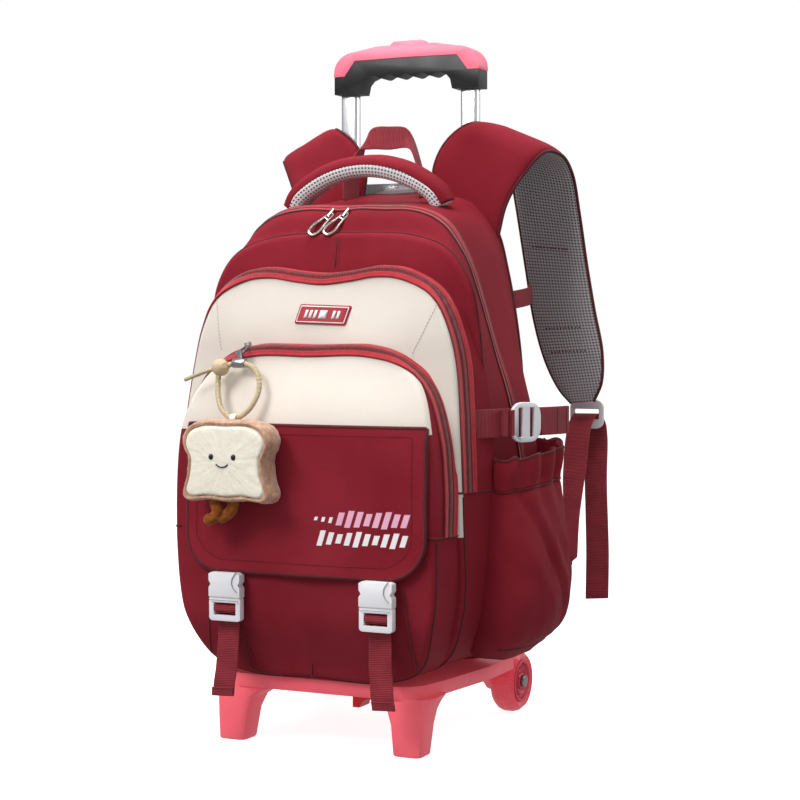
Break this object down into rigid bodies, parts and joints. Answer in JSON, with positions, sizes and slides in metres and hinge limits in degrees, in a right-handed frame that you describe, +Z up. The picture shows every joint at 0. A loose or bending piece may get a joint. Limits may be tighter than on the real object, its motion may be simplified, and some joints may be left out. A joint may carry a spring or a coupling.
{
  "type": "wheeled school backpack",
  "caption": "Child's wheeled school backpack with padded straps, zipped pockets, a buckled flap, a plastic tray with feet and wheels, a telescopic pull handle and a plush charm.",
  "frame": {"origin": "on the floor, at the middle of the footprint of everything but the hanging charm", "axes": "+Z up; -Y towards the bag's front with the flap; +X to the right as seen from the front"},
  "size_m": [0.37, 0.3652, 0.6425],
  "materials": {
    "wine_cloth": "wine red nylon with a fine weave and a soft sheen",
    "cream_cloth": "smooth cream nylon, matt",
    "red_zip": "crimson zip tape with a coil",
    "webbing": "ribbed red webbing",
    "grey_mesh": "grey spacer mesh, matt",
    "pink_plastic": "coral pink, half gloss",
    "red_plastic": "red, moulded",
    "black_plastic": "matt black, soft touch",
    "white_plastic": "white acetal, half gloss",
    "aluminium": "satin anodised tube",
    "bolt_steel": "zinc plated",
    "zip_metal": "bright nickel",
    "clear_tyre": "translucent pink polyurethane",
    "cream_plush": "short plush, cream face and tan edge",
    "brown_plush": "short brown plush",
    "cord_fibre": "beige cord wound with fibre"
  },
  "bodies": {
    "bag": {"main_back_shell": "wine_cloth", "main_front_shell": "wine_cloth", "main_zip": "red_zip", "upper_pocket_panel": "cream_cloth", "upper_pocket_base": "wine_cloth", "upper_zip": "red_zip", "lower_pocket_panel": "cream_cloth", "lower_pocket_base": "wine_cloth", "lower_zip": "red_zip", "flap": "wine_cloth", "badge": "webbing", "side_pocket_right": "wine_cloth", "side_pocket_left": "wine_cloth", "buckle_left": "white_plastic", "buckle_right": "white_plastic", "front_webbing_left": "webbing", "front_webbing_right": "webbing", "side_strap_right": "webbing", "side_strap_left": "webbing", "side_slider_right": "white_plastic", "side_slider_left": "white_plastic", "grab_handle_cover": "wine_cloth", "grab_handle_mesh": "grey_mesh", "hanging_loop": "webbing", "shoulder_strap_cover_right": "wine_cloth", "shoulder_strap_cover_left": "wine_cloth", "shoulder_strap_mesh_right": "grey_mesh", "shoulder_strap_mesh_left": "grey_mesh", "strap_webbing_right": "webbing", "strap_webbing_left": "webbing", "strap_adjuster_right": "white_plastic", "strap_adjuster_left": "white_plastic", "strap_keeper_right": "webbing", "strap_keeper_left": "webbing", "tray_base": "pink_plastic", "stand_bracket": "red_plastic", "wheel_bolt_left": "bolt_steel", "wheel_bolt_right": "bolt_steel", "tube_frame": "aluminium", "main_left_slider": "zip_metal", "main_right_slider": "zip_metal", "upper_slider": "zip_metal", "lower_slider": "zip_metal", "charm_toast": "cream_plush", "charm_legs": "brown_plush", "charm_cord": "cord_fibre", "charm_bead": "cord_fibre", "charm_sleeve": "zip_metal"},
    "handle": {"inner_tube_left": "aluminium", "inner_tube_right": "aluminium", "handle_grip": "black_plastic", "handle_shell": "pink_plastic"},
    "button": {"handle_button": "pink_plastic"},
    "wheel_left": {"tyre_left": "clear_tyre", "hub_left": "pink_plastic"},
    "wheel_right": {"tyre_right": "clear_tyre", "hub_right": "pink_plastic"},
    "main_left_pull": {"main_left_pull": "zip_metal"},
    "main_right_pull": {"main_right_pull": "zip_metal"},
    "upper_pull": {"upper_pull": "zip_metal"}
  },
  "joints": [
    {"name": "handle_slide", "type": "slide", "parent": "bag", "child": "handle", "axis": [0, 0, 1], "range_m": [-0.028, 0.3]},
    {"name": "button_press", "type": "slide", "parent": "handle", "child": "button", "axis": [0, 0, -1], "range_m": [0, 0.004], "stiffness_N_per_m": 400, "springref_m": -0.002},
    {"name": "wheel_left_spin", "type": "hinge", "parent": "bag", "child": "wheel_left", "pos_m": [-0.095, 0.09216, 0.0295], "axis": [1, 0, 0], "continuous": true},
    {"name": "wheel_right_spin", "type": "hinge", "parent": "bag", "child": "wheel_right", "pos_m": [0.095, 0.09216, 0.0295], "axis": [1, 0, 0], "continuous": true},
    {"name": "main_left_pull_swing", "type": "hinge", "parent": "bag", "child": "main_left_pull", "pos_m": [-0.01303, -0.07505, 0.47068], "axis": [-0.8271, 0.1855, 0.5306], "range_deg": [0, 100]},
    {"name": "main_right_pull_swing", "type": "hinge", "parent": "bag", "child": "main_right_pull", "pos_m": [0.00203, -0.07512, 0.47068], "axis": [-0.826, 0.1771, 0.5351], "range_deg": [0, 100]},
    {"name": "upper_pull_swing", "type": "hinge", "parent": "bag", "child": "upper_pull", "pos_m": [-0.14614, -0.10977, 0.23502], "axis": [0.0788, 0.9969, 0], "range_deg": [0, 100]}
  ]
}
